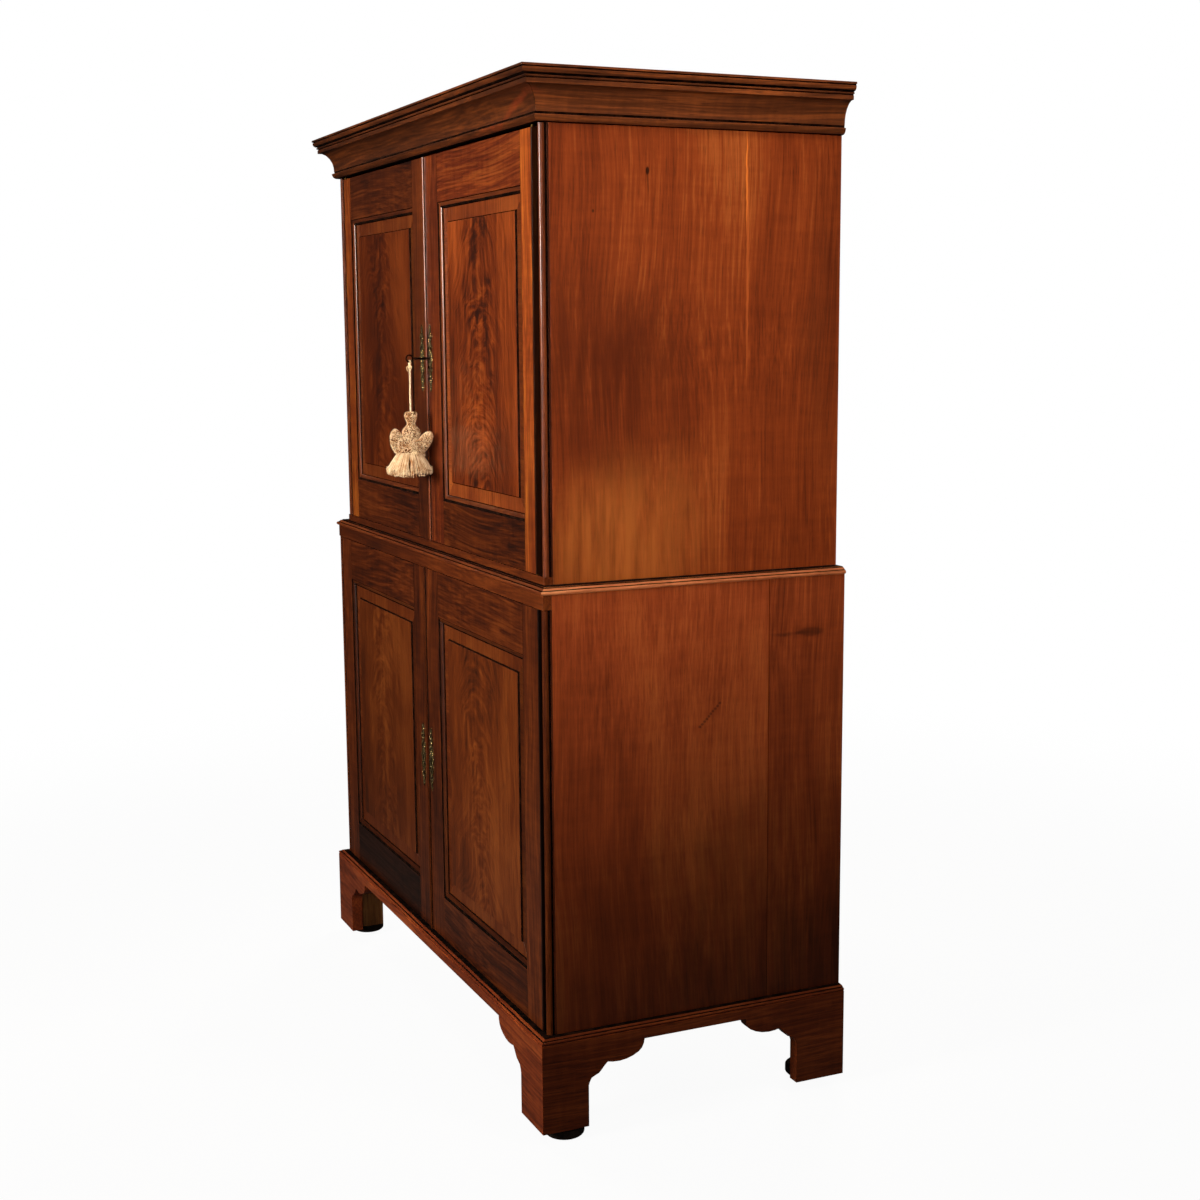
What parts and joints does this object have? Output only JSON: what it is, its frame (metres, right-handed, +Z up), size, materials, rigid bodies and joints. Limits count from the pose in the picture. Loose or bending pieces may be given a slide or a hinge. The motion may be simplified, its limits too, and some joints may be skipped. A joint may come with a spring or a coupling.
{
  "type": "linen press",
  "caption": "Two-part mahogany linen press: cupboard on bracket feet, upper case with sliding trays, panelled doors, pierced escutcheons and a tasselled key.",
  "frame": {"origin": "middle of the base of the press with its key, on the floor", "axes": "+Z up, -Y towards the front and its doors, +X to the right as seen from the front"},
  "size_m": [1.3444, 0.7009, 1.9467],
  "materials": {
    "case_mahogany": "old French polish, satin, straight grain upright",
    "door_mahogany": "old French polish, glossy, straight grain",
    "flame_veneer": "French polished flame veneer, glossy, cross-banded border",
    "moulding_mahogany": "old French polish, glossy, dark in the quirks",
    "inner_wood": "unpolished softwood and oak, dry",
    "dark_wood": "blackened hardwood, worn pale at the rim",
    "brass": "old tarnished brass, dull olive with rubbed edges",
    "iron": "dark oiled iron",
    "linen": "matt twisted cream thread"
  },
  "bodies": {
    "root": {"upper_side_left": "case_mahogany", "upper_side_right": "case_mahogany", "lower_side_left": "case_mahogany", "lower_side_right": "case_mahogany", "lower_rail": "door_mahogany", "upper_sill": "door_mahogany", "cornice": "moulding_mahogany", "waist_moulding": "moulding_mahogany", "base_moulding": "moulding_mahogany", "plinth_front": "moulding_mahogany", "plinth_left": "moulding_mahogany", "plinth_right": "moulding_mahogany", "upper_column_left": "moulding_mahogany", "upper_column_right": "moulding_mahogany", "lower_column_left": "moulding_mahogany", "lower_column_right": "moulding_mahogany", "upper_top": "inner_wood", "upper_back": "inner_wood", "lower_top": "inner_wood", "lower_back": "inner_wood", "lower_bottom": "inner_wood", "lower_shelf": "inner_wood", "tray_guide_left": "inner_wood", "tray_guide_right": "inner_wood", "foot_block_front_left": "inner_wood", "foot_block_front_right": "inner_wood", "foot_block_back_left": "inner_wood", "foot_block_back_right": "inner_wood", "foot_glide_front_left": "dark_wood", "foot_glide_front_right": "dark_wood", "foot_glide_back_left": "dark_wood", "foot_glide_back_right": "dark_wood", "upper_left_bottom_pin": "brass", "upper_left_top_pin": "brass", "upper_right_bottom_pin": "brass", "upper_right_top_pin": "brass", "lower_left_bottom_pin": "brass", "lower_left_top_pin": "brass", "lower_right_bottom_pin": "brass", "lower_right_top_pin": "brass"},
    "upper_door_left": {"upper_left_door_frame": "door_mahogany", "upper_left_door_panel": "flame_veneer", "upper_left_escutcheon": "brass"},
    "upper_door_right": {"upper_right_door_frame": "door_mahogany", "upper_right_door_panel": "flame_veneer", "upper_right_escutcheon": "brass", "upper_lock_case": "iron"},
    "lower_door_left": {"lower_left_door_frame": "door_mahogany", "lower_left_door_panel": "flame_veneer", "lower_left_escutcheon": "brass"},
    "lower_door_right": {"lower_right_door_frame": "door_mahogany", "lower_right_door_panel": "flame_veneer", "lower_right_escutcheon": "brass"},
    "key": {"key": "iron"},
    "lock_bolt": {"upper_lock_bolt": "brass"},
    "tassel": {"tassel_cord": "linen", "tassel": "linen"},
    "tray_1": {"tray_1": "inner_wood"},
    "tray_2": {"tray_2": "inner_wood"},
    "tray_3": {"tray_3": "inner_wood"}
  },
  "joints": [
    {"name": "upper_left_door", "type": "hinge", "parent": "root", "child": "upper_door_left", "pos_m": [-0.581, -0.2747, 1.0603], "axis": [0, 0, -1], "range_deg": [0, 95]},
    {"name": "upper_right_door", "type": "hinge", "parent": "root", "child": "upper_door_right", "pos_m": [0.581, -0.2747, 1.0603], "axis": [0, 0, 1], "range_deg": [0, 95]},
    {"name": "lower_left_door", "type": "hinge", "parent": "root", "child": "lower_door_left", "pos_m": [-0.6255, -0.2912, 0.2066], "axis": [0, 0, -1], "range_deg": [0, 95]},
    {"name": "lower_right_door", "type": "hinge", "parent": "root", "child": "lower_door_right", "pos_m": [0.6255, -0.2912, 0.2066], "axis": [0, 0, 1], "range_deg": [0, 95]},
    {"name": "key_turn", "type": "hinge", "parent": "upper_door_right", "child": "key", "pos_m": [0.018, -0.2797, 1.443], "axis": [0, -1, 0], "range_deg": [0, 180]},
    {"name": "bolt_slide", "type": "slide", "parent": "upper_door_right", "child": "lock_bolt", "axis": [-1, 0, 0], "range_m": [0, 0.01]},
    {"name": "tassel_swing", "type": "hinge", "parent": "upper_door_right", "child": "tassel", "pos_m": [0.018, -0.3257, 1.443], "axis": [0, 1, 0], "range_deg": [-40, 40]},
    {"name": "tray_1_slide", "type": "slide", "parent": "root", "child": "tray_1", "axis": [0, -1, 0], "range_m": [0, 0.025]},
    {"name": "tray_2_slide", "type": "slide", "parent": "root", "child": "tray_2", "axis": [0, -1, 0], "range_m": [0, 0.025]},
    {"name": "tray_3_slide", "type": "slide", "parent": "root", "child": "tray_3", "axis": [0, -1, 0], "range_m": [0, 0.025]}
  ],
  "couplings": [
    {"joint": "key_turn", "follows": "bolt_slide", "rad_per_m": 314.15}
  ]
}
